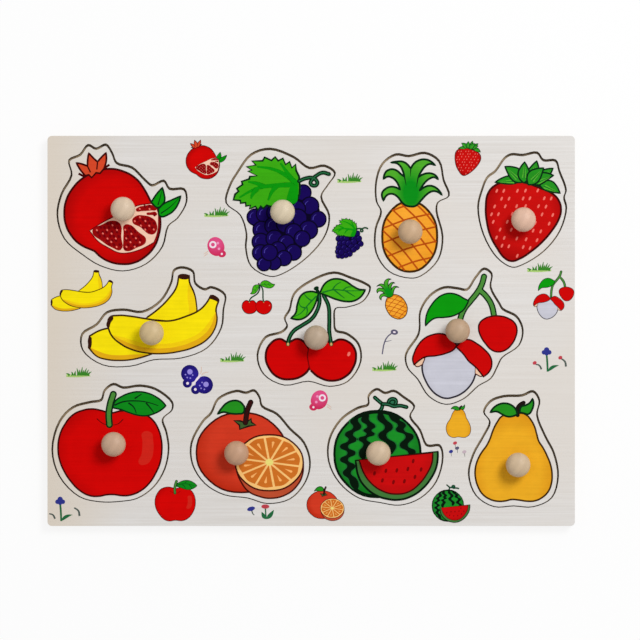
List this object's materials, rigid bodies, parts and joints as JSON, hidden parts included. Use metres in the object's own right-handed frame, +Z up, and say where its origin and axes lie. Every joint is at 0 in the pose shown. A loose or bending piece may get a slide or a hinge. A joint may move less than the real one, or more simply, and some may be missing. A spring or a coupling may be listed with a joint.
{
  "type": "knobbed fruit puzzle board",
  "caption": "Flat wooden puzzle tray with printed fruit pieces that lift out of shaped recesses by round turned knobs.",
  "frame": {"origin": "middle of the underside of the back panel", "axes": "+X along the long side towards the strawberry, +Y along the short side towards the upright fruits' tops, +Z up out of the printed face"},
  "size_m": [0.3, 0.222, 0.0225],
  "materials": {
    "board_face": "printed birch sheet with fine grain",
    "board_back": "raw plywood",
    "knob_wood": "turned beech, bare",
    "screw_steel": "zinc plated",
    "pomegranate_print": "printed sheet",
    "grapes_print": "printed sheet",
    "pineapple_print": "printed sheet",
    "strawberry_print": "printed sheet",
    "bananas_print": "printed sheet",
    "cherries_print": "printed sheet",
    "lychee_print": "printed sheet",
    "apple_print": "printed sheet",
    "orange_print": "printed sheet",
    "watermelon_print": "printed sheet",
    "pear_print": "printed sheet"
  },
  "bodies": {
    "board": {"back_panel": "board_back", "face_panel": "board_face"},
    "pomegranate": {"pomegranate_tile": "pomegranate_print", "pomegranate_knob": "knob_wood", "pomegranate_screw": "screw_steel"},
    "grapes": {"grapes_tile": "grapes_print", "grapes_knob": "knob_wood", "grapes_screw": "screw_steel"},
    "pineapple": {"pineapple_tile": "pineapple_print", "pineapple_knob": "knob_wood", "pineapple_screw": "screw_steel"},
    "strawberry": {"strawberry_tile": "strawberry_print", "strawberry_knob": "knob_wood", "strawberry_screw": "screw_steel"},
    "bananas": {"bananas_tile": "bananas_print", "bananas_knob": "knob_wood", "bananas_screw": "screw_steel"},
    "cherries": {"cherries_tile": "cherries_print", "cherries_knob": "knob_wood", "cherries_screw": "screw_steel"},
    "lychee": {"lychee_tile": "lychee_print", "lychee_knob": "knob_wood", "lychee_screw": "screw_steel"},
    "apple": {"apple_tile": "apple_print", "apple_knob": "knob_wood", "apple_screw": "screw_steel"},
    "orange": {"orange_tile": "orange_print", "orange_knob": "knob_wood", "orange_screw": "screw_steel"},
    "watermelon": {"watermelon_tile": "watermelon_print", "watermelon_knob": "knob_wood", "watermelon_screw": "screw_steel"},
    "pear": {"pear_tile": "pear_print", "pear_knob": "knob_wood", "pear_screw": "screw_steel"}
  },
  "joints": [
    {"name": "pomegranate_lift", "type": "slide", "parent": "board", "child": "pomegranate", "axis": [0, 0, 1], "range_m": [0, 0.04]},
    {"name": "grapes_lift", "type": "slide", "parent": "board", "child": "grapes", "axis": [0, 0, 1], "range_m": [0, 0.04]},
    {"name": "pineapple_lift", "type": "slide", "parent": "board", "child": "pineapple", "axis": [0, 0, 1], "range_m": [0, 0.04]},
    {"name": "strawberry_lift", "type": "slide", "parent": "board", "child": "strawberry", "axis": [0, 0, 1], "range_m": [0, 0.04]},
    {"name": "bananas_lift", "type": "slide", "parent": "board", "child": "bananas", "axis": [0, 0, 1], "range_m": [0, 0.04]},
    {"name": "cherries_lift", "type": "slide", "parent": "board", "child": "cherries", "axis": [0, 0, 1], "range_m": [0, 0.04]},
    {"name": "lychee_lift", "type": "slide", "parent": "board", "child": "lychee", "axis": [0, 0, 1], "range_m": [0, 0.04]},
    {"name": "apple_lift", "type": "slide", "parent": "board", "child": "apple", "axis": [0, 0, 1], "range_m": [0, 0.04]},
    {"name": "orange_lift", "type": "slide", "parent": "board", "child": "orange", "axis": [0, 0, 1], "range_m": [0, 0.04]},
    {"name": "watermelon_lift", "type": "slide", "parent": "board", "child": "watermelon", "axis": [0, 0, 1], "range_m": [0, 0.04]},
    {"name": "pear_lift", "type": "slide", "parent": "board", "child": "pear", "axis": [0, 0, 1], "range_m": [0, 0.04]}
  ]
}
